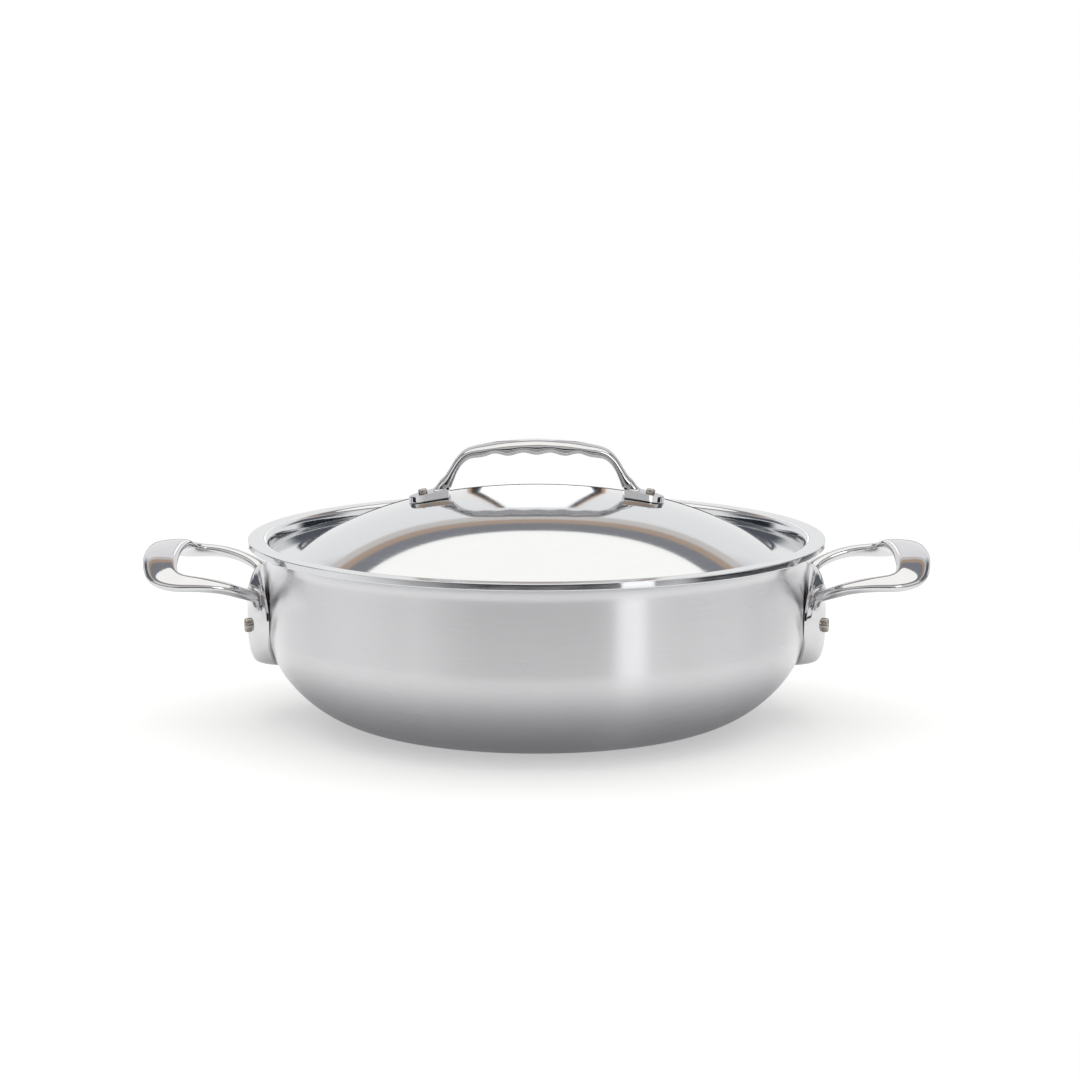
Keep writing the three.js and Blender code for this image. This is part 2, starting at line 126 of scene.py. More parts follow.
def smoothRoute(points, steps):  # a curve through all the points
    ends = [2 * points[0] - points[1], *points, 2 * points[-1] - points[-2]]
    route = []
    for before, here, there, after in zip(ends, ends[1:], ends[2:], ends[3:]):
        leave = here + (there - before) / 6
        arrive = there - (after - here) / 6
        route += interpolate_bezier(here, leave, arrive, there, steps + 1)[:-1]
    return [*route, points[-1]]


def cageGrid(bm, columns, rows, place):  # a grid whose lines are put where place says
    made = bmesh.ops.create_grid(bm, x_segments=len(columns) - 1, y_segments=len(rows) - 1, size=1)
    grid = {}
    for vert in made["verts"]:
        column = round((vert.co.x + 1) / 2 * (len(columns) - 1))
        row = round((vert.co.y + 1) / 2 * (len(rows) - 1))
        vert.co = place(columns[column], rows[row])
        grid[column, row] = vert
    return grid


def edgeLoop(verts):  # edges that have one face, among those of a set of points
    return [e for e in {e for v in verts for e in v.link_edges} if len(e.link_faces) == 1]


def openGrid(bm, grid, columns, rows):  # takes a patch out of a grid and gives the hole's edges
    patch = {v for (column, row), v in grid.items()
             if columns[0] <= column <= columns[1] and rows[0] <= row <= rows[1]}
    faces = [f for f in bm.faces if all(v in patch for v in f.verts)]
    bmesh.ops.delete(bm, geom=faces, context="FACES")
    return edgeLoop([v for v in patch if v.is_valid])


def ringEdges(bm, points):
    ring = bmesh.ops.create_circle(bm, cap_ends=False, segments=len(points), radius=1)["verts"]
    for vert, point in zip(ring, points):
        vert.co = point
    return list({e for v in ring for e in v.link_edges})


def bridgeRings(bm, loops):  # skins a row of loops
    for first, second in zip(loops, loops[1:]):
        bmesh.ops.bridge_loops(bm, edges=first + second)


def newCage():  # an empty mesh that can hold creases
    bm = bmesh.new()
    return bm, bm.edges.layers.float.new("crease_edge")


def finishPiece(bm, name, materials, body, node, subdivisions=0):
    bmesh.ops.recalc_face_normals(bm, faces=bm.faces)
    bmesh.ops.scale(bm, vec=(mm, mm, mm), verts=bm.verts)
    mesh = bpy.data.meshes.new(name)
    bm.to_mesh(mesh)
    bm.free()
    mesh.shade_smooth()
    for material in materials:
        mesh.materials.append(material)
    piece = bpy.data.objects.new(name, mesh)
    bpy.context.scene.collection.objects.link(piece)
    if subdivisions:
        rounding = piece.modifiers.new("rounding", "SUBSURF")
        rounding.levels = subdivisions
        rounding.render_levels = subdivisions
    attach(piece, body)
    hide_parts(node)
    print("made", name, len(mesh.polygons), "faces")


# Materials
def colourOf(text):  # an sRGB hex colour as linear red, green, blue and alpha
    parts = [int(text[i:i + 2], 16) / 255 for i in (1, 3, 5)]
    return (*[p / 12.92 if p <= 0.04045 else ((p + 0.055) / 1.055) ** 2.4 for p in parts], 1)


def addNode(tree, kind, inputs=None, **settings):
    node = tree.nodes.new(kind)
    for name, value in settings.items():
        setattr(node, name, value)
    for name, value in (inputs or {}).items():
        if isinstance(value, bpy.types.NodeSocket):
            tree.links.new(value, node.inputs[name])
        else:
            node.inputs[name].default_value = value
    return node


def newMaterial(name):
    material = bpy.data.materials.new(name)
    material.use_nodes = True
    material.node_tree.nodes.clear()
    return material, material.node_tree


def brushedPattern(tree, look):  # long thin streaks that run round the vertical axis, from 0 to 1
    place = addNode(tree, "ShaderNodeTexCoord").outputs["Object"]
    axes = addNode(tree, "ShaderNodeSeparateXYZ", {0: place}).outputs
    flat = addNode(tree, "ShaderNodeCombineXYZ", {0: axes["X"], 1: axes["Y"]}).outputs[0]
    radius = addNode(tree, "ShaderNodeVectorMath", {0: flat}, operation="LENGTH").outputs["Value"]
    profile = addNode(tree, "ShaderNodeMath", {0: radius, 1: axes["Z"]}, operation="ADD").outputs[0]
    stretch = look["streakLength"] / look["streakWidth"]
    thin = addNode(tree, "ShaderNodeMath", {0: profile, 1: stretch}, operation="MULTIPLY").outputs[0]
    where = addNode(tree, "ShaderNodeCombineXYZ", {0: axes["X"], 1: axes["Y"], 2: thin}).outputs[0]
    scale = 1 / (look["streakLength"] * mm)
    return addNode(tree, "ShaderNodeTexNoise", {"Vector": where, "Scale": scale, "Detail": 3.0,
                                                "Roughness": 0.65}).outputs[0]


def castPattern(tree, look):  # the slow waver that hand polishing leaves on a casting
    place = addNode(tree, "ShaderNodeTexCoord").outputs["Object"]
    return addNode(tree, "ShaderNodeTexNoise", {"Vector": place, "Scale": 1 / (look["waver"] * mm),
                                                "Detail": 2.0}).outputs[0]


def steelMaterial(look):
    material, tree = newMaterial(look["name"])
    pattern = brushedPattern(tree, look) if "streakLength" in look else castPattern(tree, look)
    shade = addNode(tree, "ShaderNodeMapRange", {"Value": pattern, "From Min": 0.25, "From Max": 0.75,
                                                 "To Min": look["roughness"][0],
                                                 "To Max": look["roughness"][1]})
    tint = addNode(tree, "ShaderNodeMix", {0: pattern, 6: colourOf(look["colours"][0]),
                                           7: colourOf(look["colours"][1])}, data_type="RGBA")
    relief = addNode(tree, "ShaderNodeBump", {"Height": pattern, "Strength": look["bump"],
                                              "Distance": look["depth"] * mm})
    steel = addNode(tree, "ShaderNodeBsdfPrincipled", {
        "Base Color": tint.outputs[2],
        "Roughness": shade.outputs[0],
        "Normal": relief.outputs[0],
        "Metallic": 1.0,
        "Specular Tint": colourOf(look["edge"]),  # for a glancing eye
    })
    if "grain" in look:  # brushed steel smears a reflection across its grain
        grain = addNode(tree, "ShaderNodeTangent", direction_type="RADIAL", axis="Z")
        tree.links.new(grain.outputs[0], steel.inputs["Tangent"])
        steel.inputs["Anisotropic"].default_value = look["grain"]
        steel.inputs["Anisotropic Rotation"].default_value = 0.25
    addNode(tree, "ShaderNodeOutputMaterial", {"Surface": steel.outputs[0]})
    return material


# Brushed stainless: a belt run round the turning wall leaves fine level lines that soften and
# smear what it reflects. The real lines are about 0.1 mm, and are drawn wider so that they show.
satinSteel = steelMaterial({
    "name": "brushed_stainless_steel", "colours": ("#dbdbde", "#e3e3e5"), "roughness": (0.27, 0.31),
    "streakLength": 26, "streakWidth": 0.7, "bump": 0.05, "depth": 0.02, "grain": 1.0, "edge": "#ffffff",
})
# Buffed stainless: a near mirror with a trace of the round buffing lines
polishedSteel = steelMaterial({
    "name": "buffed_stainless_steel", "colours": ("#d7d8da", "#dcdddf"), "roughness": (0.05, 0.10),
    "streakLength": 18, "streakWidth": 0.6, "bump": 0.05, "depth": 0.01, "edge": "#f8f8f8",
})
# Polished casting: mirror bright, with edges and faces that waver a little
castLook = {
    "name": "polished_cast_stainless_steel", "colours": ("#d0d0d2", "#d8d8d9"),
    "roughness": (0.04, 0.08), "waver": 9, "bump": 0.06, "depth": 0.05, "edge": "#f4f4f5",
}
castSteel = steelMaterial(castLook)
# Dark-edged casting: the same polished casting with a darker glancing tint, painted shade that darkens
# the lid grip's outlines
darkEdgedCastSteel = steelMaterial({**castLook, "name": "cast_stainless_steel_dark_edged", "edge": "#dcdcdf"})
# Rivet wire: drawn, cut and pressed, so duller and warmer than the castings
rivetSteel = steelMaterial({
    "name": "pressed_rivet_steel", "colours": ("#a8a39b", "#c4beb4"), "roughness": (0.22, 0.34),
    "waver": 1.6, "bump": 0.15, "depth": 0.05, "edge": "#d8d8da",
})


# Pan: a sheet drawn to a round-bottomed wall that turns out at its top into a level pouring lip
panHigh = sizeOf("pan_vessel")[1]
pan = {
    "height": panHigh.z,
    "rimRadius": panHigh.x,
    "wall": 2.7,
    "lip": 3.5,  # thickness of the lip's edge
    "overhang": 9,  # lip beyond the wall
    "flare": (3.6, 7.5),  # how far the wall turns out under the lip, and over what height
    "innerFlare": (1.1, 7),
    "lipBend": 0.4,  # radius under the lip where it turns level
    "baseRadius": 91,
    "curveHeight": 49,
    "curvePulls": (21, 24),
    "rimRound": 0.4,
    "satinTop": 90.6,  # the brushing stops under the lip
    "curveSteps": 44,
    "wallSteps": 10,
    "flareSteps": 10,
    "bendSteps": 5,
    "edgeSteps": 6,
    "segments": 256,
}


def panOutside(flare, lip):
    p = pan
    wallRadius = p["rimRadius"] - p["overhang"]
    under = p["height"] - lip
    out, rise = flare
    sweep = (out * out + rise * rise) / (2 * out)
    bend = p["lipBend"]
    lean = math.asin(rise / sweep)
    lipStart = under - rise - bend * (1 - rise / sweep)
    basePull, wallPull = p["curvePulls"]
    curve = bezierLine([
        (p["baseRadius"], 0),
        (p["baseRadius"] + basePull, 0),
        (wallRadius, p["curveHeight"] - wallPull),
        (wallRadius, p["curveHeight"]),
    ], p["curveSteps"])
    rows = p["wallSteps"]
    wall = [(wallRadius, mix(p["curveHeight"], lipStart, row / rows)) for row in range(1, rows)]
    full = 180 - math.degrees(lean)
    leaning = arcLine((wallRadius + sweep, lipStart), sweep, 180, full, p["flareSteps"])
    corner = (wallRadius + out + bend * math.cos(lean), under - bend)
    turn = arcLine(corner, bend, full, 90, p["bendSteps"])
    edge = p["rimRadius"] - p["rimRound"]
    level = [(mix(turn[-1][0], edge, share), under) for share in (0.1, 0.5, 0.9, 1)]
    base = [(p["baseRadius"] * share, 0) for share in (0, 0.35, 0.7)]
    return [*base, *curve, *wall, *leaning, *turn[1:], *level]


panLine = panOutside(pan["flare"], pan["lip"])


def wallRadiusAt(height):
    pairs = zip(panLine, panLine[1:])
    low, high = next(pair for pair in pairs if pair[0][1] <= height < pair[1][1])
    return mix(low[0], high[0], (height - low[1]) / (high[1] - low[1]))


def makePan():
    p = pan
    rounding, steps = p["rimRound"], p["edgeSteps"]
    corner = p["rimRadius"] - rounding
    under = arcLine((corner, p["height"] - p["lip"] + rounding), rounding, -90, 0, steps)
    over = arcLine((corner, p["height"] - rounding), rounding, 0, 90, steps)
    edge = [(p["rimRadius"], mix(under[-1][1], over[0][1], share)) for share in (0.06, 0.94)]
    inside = offsetLine(panOutside(p["innerFlare"], p["wall"]), p["wall"])[::-1]
    bm = spunProfile([*panLine, *under[1:], *edge, *over, *inside[1:]], p["segments"])
    for face in bm.faces:
        middle = face.calc_center_median()
        outward = face.normal.dot(Vector((middle.x, middle.y, 0)).normalized())
        outside = outward > 0.02 or face.normal.z < -0.5
        face.material_index = 0 if outside and middle.z < p["satinTop"] else 1
    finishPiece(bm, "pan_body", [satinSteel, polishedSteel], "pan", "pan_vessel")


# Side handles: a shield that hugs the wall, and a loop that grows out of its shoulders
handleHigh = sizeOf("right_handle")[1]
sideHandle = {
    "middle": 53,  # height of the shield's middle
    "height": 51.2,
    "width": 68,
    "bulge": 10,  # from the straight wall
    "rim": 1.3,
    "gap": 0.3,
    "outlinePower": 2.6,
    "bulgePower": 4,
    "acrossPower": 3.2,
    "leanStart": 60,  # above this its back leaves the wall
    "leanSlope": 0.17,
    "leanEase": 3,
    "columns": (0, 0.2, 0.42, 0.56, 0.78, 0.9, 0.965, 1),
    "rows": (-1, -0.97, -0.88, -0.6, -0.22, 0.1, 0.34, 0.68, 0.93, 1),
    "rootColumns": (2, 5),
    "rootRows": (6, 7),
    "rootX": 142,
    "tip": handleHigh.x - 0.1,
    "halfLoop": 53,
    "rise": (14, 33.8),  # root and grip above the shield's middle
    "route": (  # share of the way out, of half the loop's width and of the way up
        (0.07, 0.71, 0.12),
        (0.14, 0.83, 0.24),
        (0.33, 0.93, 0.44),
        (0.55, 0.995, 0.55),
        (0.78, 0.965, 0.59),
        (0.93, 0.8, 0.71),
        (0.985, 0.45, 0.94),
        (1, 0, 1),
    ),
    "bar": (  # width and thickness there, and degrees that its top turns outward
        (9.8, 6, 8),
        (9.8, 6, 10),
        (9.8, 6, 14),
        (10.6, 6, 20),
        (13, 6.2, 26),
        (16.5, 6.6, 20),
        (18.8, 6.8, 6),
        (18.8, 6.8, 2),
    ),
    "section": ((-1, 0.5), (-0.55, 1), (0.55, 1), (1, 0.5)),  # shares of half the width and thickness
    "crease": 0.5,
}


def shieldPoint(across, up, back):
    h = sideHandle
    power = h["outlinePower"]
    disc = Vector((across * math.sqrt(1 - up * up / 2), up * math.sqrt(1 - across * across / 2)))
    turn = math.atan2(disc.y, disc.x)
    disc *= (abs(math.cos(turn)) ** power + abs(math.sin(turn)) ** power) ** (-1 / power)
    y = disc.x * h["width"] / 2
    z = h["middle"] + disc.y * h["height"] / 2
    above = max(0, z - h["leanStart"])
    lean = h["leanSlope"] * above * above / (above + h["leanEase"])
    rest = math.sqrt(wallRadiusAt(z) ** 2 - y * y) + h["gap"] + lean
    if back:
        return Vector((rest, y, z))
    rowWidth = max(0, 1 - abs(disc.y) ** power) ** (1 / power)
    share = disc.x / rowWidth if rowWidth > 0.01 else 1
    crown = max(0, 1 - disc.y ** h["bulgePower"]) ** (1 / h["bulgePower"])
    edge = rest + h["rim"]
    front = wallRadiusAt(h["leanStart"]) + h["bulge"] * crown
    return Vector((max(edge, mix(front, edge, min(1, abs(share)) ** h["acrossPower"])), y, z))


def barRing(centre, across, through, halfWidth, halfThickness, section):
    upper = [centre + across * (s * halfWidth) + through * (t * halfThickness) for s, t in section]
    lower = [centre + across * (s * halfWidth) - through * (t * halfThickness) for s, t in section]
    return [*upper, *lower[::-1]]


def loopRings(bm):
    h = sideHandle
    gripX = h["tip"] - h["bar"][-1][0] / 2
    half = [Vector((mix(h["rootX"], gripX, out), side * h["halfLoop"],
                    h["middle"] + mix(*h["rise"], up))) for out, side, up in h["route"]]
    route = smoothRoute([*half, *[Vector((p.x, -p.y, p.z)) for p in half[-2::-1]]], 3)
    bars = [Vector(bar) for bar in h["bar"]]
    rings = []
    for i, (centre, bar) in enumerate(zip(route, smoothRoute([*bars, *bars[-2::-1]], 3))):
        along = (route[min(i + 1, len(route) - 1)] - route[max(i - 1, 0)]).normalized()
        across = Vector((0, 0, 1)).cross(along).normalized()
        across.rotate(Matrix.Rotation(-math.radians(bar.z), 3, along))
        through = along.cross(across)
        rings.append(ringEdges(bm, barRing(centre, across, through, bar.x / 2, bar.y / 2, h["section"])))
    return rings


def makeSideHandle(name, node, turn):
    h = sideHandle
    columns = [*[-c for c in h["columns"][:0:-1]], *h["columns"]]
    middle = len(h["columns"]) - 1
    bm, crease = newCage()
    front = cageGrid(bm, columns, h["rows"], lambda u, v: shieldPoint(u, v, False))
    frontRim = edgeLoop(front.values())
    back = cageGrid(bm, columns, h["rows"], lambda u, v: shieldPoint(u, v, True))
    backRim = edgeLoop(back.values())
    first, last = h["rootColumns"]
    roots = [openGrid(bm, front, span, h["rootRows"])
             for span in ((middle + first, middle + last), (middle - last, middle - first))]
    bridgeRings(bm, [roots[0], *loopRings(bm), roots[1]])
    bridgeRings(bm, [frontRim, backRim])
    for edge in frontRim + backRim:
        edge[crease] = h["crease"]
    bmesh.ops.rotate(bm, cent=(0, 0, 0), matrix=Matrix.Rotation(turn, 3, "Z"), verts=bm.verts)
    finishPiece(bm, name, [castSteel], "pan", node, subdivisions=3)


# Rivets: a low round head, a shank and a swelled tail with a rounded end
def rivetLine(rivet):
    headHeight, headRadius = rivet["head"]
    face, tailStart, tailEnd = rivet["headFace"], rivet["tailStart"], rivet["tailEnd"]
    tail, rounding = rivet["tailRadius"], rivet["rounding"]
    dome = bezierLine([
        (0, face - headHeight),
        (headRadius * 0.6, face - headHeight),
        (headRadius, face - headHeight * 0.7),
        (headRadius, face - headHeight * 0.15),
    ], 10)
    end = arcLine((tail - rounding, tailEnd - rounding), rounding, 0, 90, 6)
    cap = bezierLine([end[-1], (tail * 0.35, tailEnd), (tail * 0.3, tailEnd - rivet["dimple"]),
                      (0, tailEnd - rivet["dimple"])], 6)
    shank = [(headRadius * 0.97, face), (rivet["shankRadius"], face), (rivet["shankRadius"], tailStart)]
    return [*dome, *shank, (tail, tailStart), *end, *cap[1:]]


handleRivet = {
    "headFace": 137.9, "head": (1.8, 5.4), "shankRadius": 3.2, "tailStart": 145.7, "tailEnd": 152.6,
    "tailRadius": 3.7, "rounding": 1.2, "dimple": 0.15, "height": 51, "spacing": 38, "segments": 48,
}


def makeHandleRivet(name, node, turn):
    bm = spunProfile(rivetLine(handleRivet), handleRivet["segments"])
    bmesh.ops.rotate(bm, cent=(0, 0, 0), matrix=Matrix.Rotation(math.pi / 2, 3, "Y"), verts=bm.verts)
    bmesh.ops.translate(bm, vec=(0, 0, handleRivet["height"]), verts=bm.verts)
    bmesh.ops.rotate(bm, cent=(0, 0, 0), matrix=Matrix.Rotation(turn, 3, "Z"), verts=bm.verts)
    finishPiece(bm, name, [rivetSteel], "pan", node)


# Lid: one thin sheet, a dome that turns out into a flat flange
lidLow, lidHigh = sizeOf("lid_shell")
lid = {
    "radius": lidHigh.x,
    "seat": lidLow.z,
    "top": lidHigh.z,
    "sheet": 1.1,
    "flange": 14.5,
    "pulls": (50, 45),
    "edgeAngle": 32,
    "fillet": 3,
    "flatEnd": 0.5,  # where the flange's top gives way to its round edge
    "domeSteps": 72,
    "filletSteps": 8,
    "edgeSteps": 10,
    "segments": 256,
}


def lidOutside():
    flangeTop = lid["seat"] + lid["sheet"]
    edge = lid["radius"] - lid["flange"]
    angle = math.radians(lid["edgeAngle"])
    crownPull, edgePull = lid["pulls"]
    dome = bezierLine([
        (0, lid["top"]),
        (crownPull, lid["top"]),
        (edge - edgePull * math.cos(angle), flangeTop + edgePull * math.sin(angle)),
        (edge, flangeTop),
    ], lid["domeSteps"])
    start = next(point for point in dome if point[0] > edge - lid["fillet"])
    kept = dome[:dome.index(start)]
    filletEnd = edge + lid["fillet"]
    fillet = bezierLine([
        start,
        mix(Vector(start), Vector((edge, flangeTop)), 0.6),
        (edge + lid["fillet"] * 0.4, flangeTop),
        (filletEnd, flangeTop),
    ], lid["filletSteps"])
    flat = [(mix(filletEnd, lid["radius"] - lid["flatEnd"], share), flangeTop) for share in (0.5, 1)]
    return [*kept, *fillet, *flat]


lidLine = lidOutside()


def makeLid():
    half = lid["sheet"] / 2
    under = offsetLine(lidLine, -lid["sheet"])[::-1]
    edge = arcLine((lid["radius"] - half, lid["seat"] + half), half, 90, -90, lid["edgeSteps"])
    bm = spunProfile([*lidLine[:-1], *edge, *under[1:]], lid["segments"])
    finishPiece(bm, "lid_dome", [polishedSteel], "lid", "lid_shell")


# Lid handle: an arch with finger hollows under its grip, on two feet that lie along the dome
arch = {
    "top": sizeOf("lid_handle")[1].z,
    "tip": 66.3,
    "widths": (17, 12),  # of the grip and of the legs
    "footWidth": 19,
    "footThickness": (4.4, 3.2),  # at the heel and at the tip
    "footDraft": 0.87,  # its top is narrower
    "tipShare": 0.03,  # keeps its round tip from closing to a point
    "gap": 0.3,
    "hollows": (14.7, 1.6, 4),  # spacing, depth and count
    "route": (  # share of the way out to the foot, thickness, and share of the way up from the foot
        (0, 8.4, 1),
        (0.32, 8, 0.972),
        (0.55, 6.8, 0.928),
        (0.74, 5.6, 0.86),
        (0.84, 4.6, 0.71),
        (0.905, 4.3, 0.52),
        (0.955, 5.2, 0.33),
        (1, 7, 0.19),
    ),
    "legOut": 47.3,
    "narrowing": (0.5, 0.88),  # shares of that between which the grip narrows to the legs
    "rootRise": 2.1,  # start of the way up, above the dome
    "section": ((-1, 0.5), (-0.6, 1), (0.6, 1), (1, 0.5)),
    "columns": (45.4, 45.9, 46.9, 53.6, 56.8, 59.3, 61.6, 63.5, 65, 65.9, 66.3),
    "rows": (-1, -0.94, -0.62, -0.36, 0.36, 0.62, 0.94, 1),
    "legColumns": (2, 3),
    "legRows": (2, 5),
    "crease": 0.6,
}


def footPoint(x, across, side, top):
    a = arch
    past = max(0, (x - a["tip"]) / (a["footWidth"] / 2) + 1)
    y = across * a["footWidth"] / 2 * math.sqrt(max(a["tipShare"], 1 - past * past))
    y *= a["footDraft"] if top else 1
    thickness = mix(*a["footThickness"], (x - a["columns"][0]) / (a["tip"] - a["columns"][0]))
    rise = a["gap"] + (thickness if top else 0)
    return Vector((side * x, y, heightOn(lidLine, math.hypot(x, y)) + rise))


def archRings(bm):
    a = arch
    spacing, depth, count = a["hollows"]
    base = heightOn(lidLine, a["legOut"]) + a["rootRise"]
    crown = a["top"] - a["route"][0][1] / 2
    half = [Vector((out * a["legOut"], thick, mix(base, crown, up))) for out, thick, up in a["route"]]
    route = smoothRoute([*[Vector((-p.x, p.y, p.z)) for p in half[:0:-1]], *half], 6)
    rings = []
    for i, station in enumerate(route):
        centre = Vector((station.x, 0, station.z))
        along = route[min(i + 1, len(route) - 1)] - route[max(i - 1, 0)]
        along = Vector((along.x, 0, along.z)).normalized()
        across = Vector((0, 1, 0))
        through = along.cross(across)
        width = mix(*a["widths"], blend(abs(centre.x) / a["legOut"], *a["narrowing"]))
        points = barRing(centre, across, through, width / 2, station.y / 2, a["section"])
        if abs(centre.x) < spacing * count / 2:
            rise = depth / 2 * (1 - math.cos(2 * math.pi * centre.x / spacing))
            points = [p + Vector((0, 0, rise)) if p.z < centre.z else p for p in points]
        rings.append(ringEdges(bm, points))
    return rings


def makeLidHandle():
    a = arch
    bm, crease = newCage()
    holes = []
    rims = []
    for side in (-1, 1):
        top = cageGrid(bm, a["columns"], a["rows"], lambda u, v: footPoint(u, v, side, True))
        topRim = edgeLoop(top.values())
        bottom = cageGrid(bm, a["columns"], a["rows"], lambda u, v: footPoint(u, v, side, False))
        bottomRim = edgeLoop(bottom.values())
        holes.append(openGrid(bm, top, a["legColumns"], a["legRows"]))
        bridgeRings(bm, [topRim, bottomRim])
        rims += topRim + bottomRim
    bridgeRings(bm, [holes[0], *archRings(bm), holes[1]])
    for edge in rims:
        edge[crease] = a["crease"]
    # the grip's darker glancing tint is painted shade along its outlines
    finishPiece(bm, "lid_grip", [darkEdgedCastSteel], "lid", "lid_handle", subdivisions=3)


lidRivet = {
    "headFace": -1.4, "head": (1.2, 4.4), "shankRadius": 1.9, "tailStart": 3.6, "tailEnd": 5.9,
    "tailRadius": 2.3, "rounding": 0.7, "dimple": 0.1, "fromTip": 7.8, "segments": 40,
}


def makeLidRivet(name, node, turn):
    out = arch["tip"] - lidRivet["fromTip"]
    slope = heightOn(lidLine, out + 1) - heightOn(lidLine, out - 1)
    bm = spunProfile(rivetLine(lidRivet), lidRivet["segments"])
    lean = Matrix.Rotation(-math.atan(slope / 2), 3, "Y")
    bmesh.ops.rotate(bm, cent=(0, 0, 0), matrix=lean, verts=bm.verts)
    bmesh.ops.translate(bm, vec=(out, 0, heightOn(lidLine, out)), verts=bm.verts)
    bmesh.ops.rotate(bm, cent=(0, 0, 0), matrix=Matrix.Rotation(turn, 3, "Z"), verts=bm.verts)
    finishPiece(bm, name, [rivetSteel], "lid", node)


# Studio: a pale floor, a large oval softbox overhead and cards that only the steel sees
studio = {
    "boxHeight": 1.3,
    "boxMiddle": 0.3,
    "boxSize": (2.52, 1.98),
    "boxPower": 14.4,
    "boxGlow": 1.34,  # of its face as polished metal shows it
    "boxCards": 1.31,  # height of that face and of the rings round it
    "ambient": 0.55,
    "floorColour": "#dcdcda",
    "floorGlow": 0.4,  # lifts the floor to white for the eye and for reflections
    "floorFade": (0.3, 0.75),
    "floorRadius": 30,
    "floorLevel": -0.0003,
    "rings": (  # round the softbox: width along X and Y, colour
        ((0.46, 0.33), "#8f9196"),
        ((0.22, 0.22), "#bfa997"),
        ((0.3, 0.3), "#dcd8d4"),
    ),
    "panelDepth": 4,  # a tall lit panel behind, with its own dark and warm edges
    "panelHeights": (0, 0.6, 1.75),
    "panelHalves": (0.134, 0.182, 0.163),  # half its width at those heights
    "panelEdges": (0.03, 0.012),  # width of the dark edge and of the warm one
    "panelCards": (  # shares across it, colour and strength
        ("lit", (0, 1), "#ffffff", 1.4),
        ("dark", (1, 2), "#2c2c30", 1.0),
        ("warm", (2, 3), "#bf9d80", 1.0),
    ),
    "roomRadius": 2.6,  # the room in front, past the table's edge
    "roomHeight": 3.2,
    "roomShade": "#d2d2d4",
    "groundShade": "#242426",  # its floor and the foot of its wall are dark
    "groundHeight": 0.68,
    "groundLevel": 0.002,
    "roomFades": (80, 16),  # degrees from its middle where it starts and is full
    "tableEdge": 0.64,
    "windowRadius": 2.5,
    "windowAngles": (33.5, 46),
    "windowHeights": (0.55, 1.6),
    "windowGlow": 3.5,
    "patchAngles": (29, 41),  # the window's light on the ground
    "patchRadii": (0.64, 1),
    "patchGlow": 1.6,
    "patchLevel": 0.004,
    "stripMiddle": 94,  # a dark strip along the table's right end
    "stripFades": (46, 32),
    "stripRadii": (0.6, 0.84),
    "stripShade": "#2c2c2f",
    "sideMiddle": 92,  # a low dark skirting at either side
    "sideFades": (44, 34),
    "sideRadius": 2.7,
    "sideHeights": (0.15, 0.6),
    "sideShade": "#2a2e34",
    "cornerMiddle": 124,  # a tall dark screen at either back corner
    "cornerFades": (32, 14),
    "cornerRadius": 2.8,
    "cornerHeights": (0.7, 3),
    "cornerShade": "#666a72",
    "backFloor": (0.9, 3.9),  # dark ground behind, from and to this depth
    "backHalf": 3,
    "backLevel": 0.003,
    "backShade": "#4c4d50",
    "contactRadii": (0.108, 0.2),  # a painted shadow of the pan on the table close to it, which only the steel sees
    "contactLevel": -0.0001,
    "contactShade": "#828284",
}


def addStage(bm, name, material):
    mesh = bpy.data.meshes.new(name)
    bm.to_mesh(mesh)
    bm.free()
    mesh.materials.append(material)
    thing = bpy.data.objects.new(name, mesh)
    bpy.context.scene.collection.objects.link(thing)
    return thing


def distanceFade(tree, start, end):  # from 0 to 1 between two distances from the middle
    place = addNode(tree, "ShaderNodeTexCoord").outputs["Object"]
    distance = addNode(tree, "ShaderNodeVectorMath", {0: place}, operation="LENGTH").outputs["Value"]
    return addNode(tree, "ShaderNodeMapRange", {"Value": distance, "From Min": start, "From Max": end},
                   interpolation_type="SMOOTHSTEP").outputs[0]


def seenRays(tree):  # 1 for what the eye sees straight, in a mirror or through glass
    path = addNode(tree, "ShaderNodeLightPath").outputs
    seen = addNode(tree, "ShaderNodeMath", {0: path["Is Camera Ray"], 1: path["Is Glossy Ray"]},
                   operation="MAXIMUM").outputs[0]
    return addNode(tree, "ShaderNodeMath", {0: seen, 1: path["Is Transmission Ray"]},
                   operation="MAXIMUM").outputs[0]


def makeWorld():
    world = bpy.data.worlds.new("studio")
    bpy.context.scene.world = world
    world.use_nodes = True
    tree = world.node_tree
    tree.nodes.clear()
    level = addNode(tree, "ShaderNodeMapRange", {"Value": seenRays(tree), "To Min": studio["ambient"],
                                                 "To Max": 1.0}).outputs[0]
    white = addNode(tree, "ShaderNodeBackground", {"Color": (1, 1, 1, 1), "Strength": level})
    addNode(tree, "ShaderNodeOutputWorld", {"Surface": white.outputs[0]})


